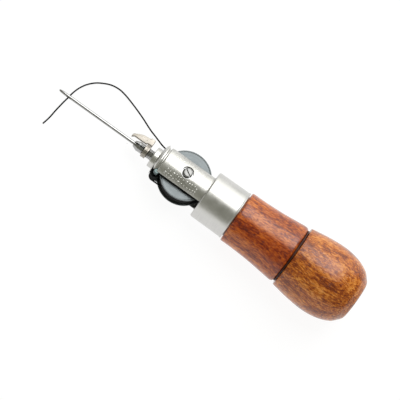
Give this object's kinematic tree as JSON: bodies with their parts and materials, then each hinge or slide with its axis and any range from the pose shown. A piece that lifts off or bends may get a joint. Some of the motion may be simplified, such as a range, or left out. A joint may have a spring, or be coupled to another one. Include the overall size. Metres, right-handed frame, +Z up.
{
  "type": "lock-stitch sewing awl",
  "caption": "Hand sewing awl: turned wood handle with a screw-off cap, cast housing holding a thread bobbin, wing-nut chuck and an eyed needle with waxed thread.",
  "frame": {"origin": "on the table under the middle of the tool's length and width, without its free thread", "axes": "+Z up from the table the tool lies on, +X along the tool towards the needle, +Y across the bobbin slot"},
  "size_m": [0.1792, 0.0402, 0.038],
  "materials": {
    "cast_aluminium": "satin, tumbled die casting",
    "nickel_plate": "bright nickel plate with a warm tone",
    "steel": "polished steel",
    "brass": "turned brass",
    "red_wood": "reddish hardwood under satin lacquer",
    "amber_wood": "amber hardwood under satin lacquer",
    "black_thread": "waxed twisted thread",
    "dark_leather": "dark leather washer"
  },
  "bodies": {
    "handle": {"housing": "cast_aluminium", "ferrule": "cast_aluminium", "handle_grip": "red_wood", "grip_thread_ring": "brass", "tang_screw": "steel", "chuck_stud": "steel", "tension_post": "steel", "thread_feed": "black_thread", "thread_loop": "black_thread", "spare_needle_1": "steel", "spare_needle_2": "steel"},
    "bobbin": {"bobbin_hub": "nickel_plate", "bobbin_plate_front": "nickel_plate", "bobbin_plate_back": "nickel_plate", "thread_winding": "black_thread"},
    "screw_washer": {"bobbin_screw_washer": "steel"},
    "bobbin_screw": {"bobbin_screw": "steel"},
    "nut_collar": {"nut_collar": "nickel_plate"},
    "wing_nut": {"wing_nut": "nickel_plate"},
    "needle": {"needle": "steel", "thread_tail": "black_thread"},
    "cap_washer": {"cap_washer": "dark_leather"},
    "handle_cap": {"handle_cap": "amber_wood", "cap_thread_insert": "brass"}
  },
  "joints": [
    {"name": "bobbin_spin", "type": "hinge", "parent": "handle", "child": "bobbin", "pos_m": [0.01448, -0.0003, 0.01162], "axis": [0.0893, 0, 0.996], "continuous": true},
    {"name": "screw_lift", "type": "slide", "parent": "handle", "child": "screw_washer", "axis": [0.0893, 0, 0.996], "range_m": [0, 0.0035]},
    {"name": "screw_turn", "type": "hinge", "parent": "screw_washer", "child": "bobbin_screw", "pos_m": [0.0152, -0.0003, 0.01969], "axis": [0.0893, 0, 0.996], "range_deg": [0, 1800]},
    {"name": "nut_travel", "type": "slide", "parent": "handle", "child": "nut_collar", "axis": [0.996, 0, -0.0893], "range_m": [0, 0.004]},
    {"name": "nut_turn", "type": "hinge", "parent": "nut_collar", "child": "wing_nut", "pos_m": [0.03599, 0, 0.00969], "axis": [0.996, 0, -0.0893], "range_deg": [0, 1800]},
    {"name": "needle_slide", "type": "slide", "parent": "handle", "child": "needle", "axis": [0.996, 0, -0.0893], "range_m": [0, 0.018]},
    {"name": "cap_travel", "type": "slide", "parent": "handle", "child": "cap_washer", "axis": [-0.996, 0, 0.0893], "range_m": [0, 0.012]},
    {"name": "cap_turn", "type": "hinge", "parent": "cap_washer", "child": "handle_cap", "pos_m": [-0.05096, 0, 0.01748], "axis": [-0.996, 0, 0.0893], "range_deg": [0, 2160]}
  ],
  "couplings": [
    {"joint": "screw_turn", "follows": "screw_lift", "rad_per_m": 8975.9},
    {"joint": "nut_turn", "follows": "nut_travel", "rad_per_m": 7853.9},
    {"joint": "cap_travel", "follows": "cap_turn", "m_per_rad": 0.00031831}
  ]
}
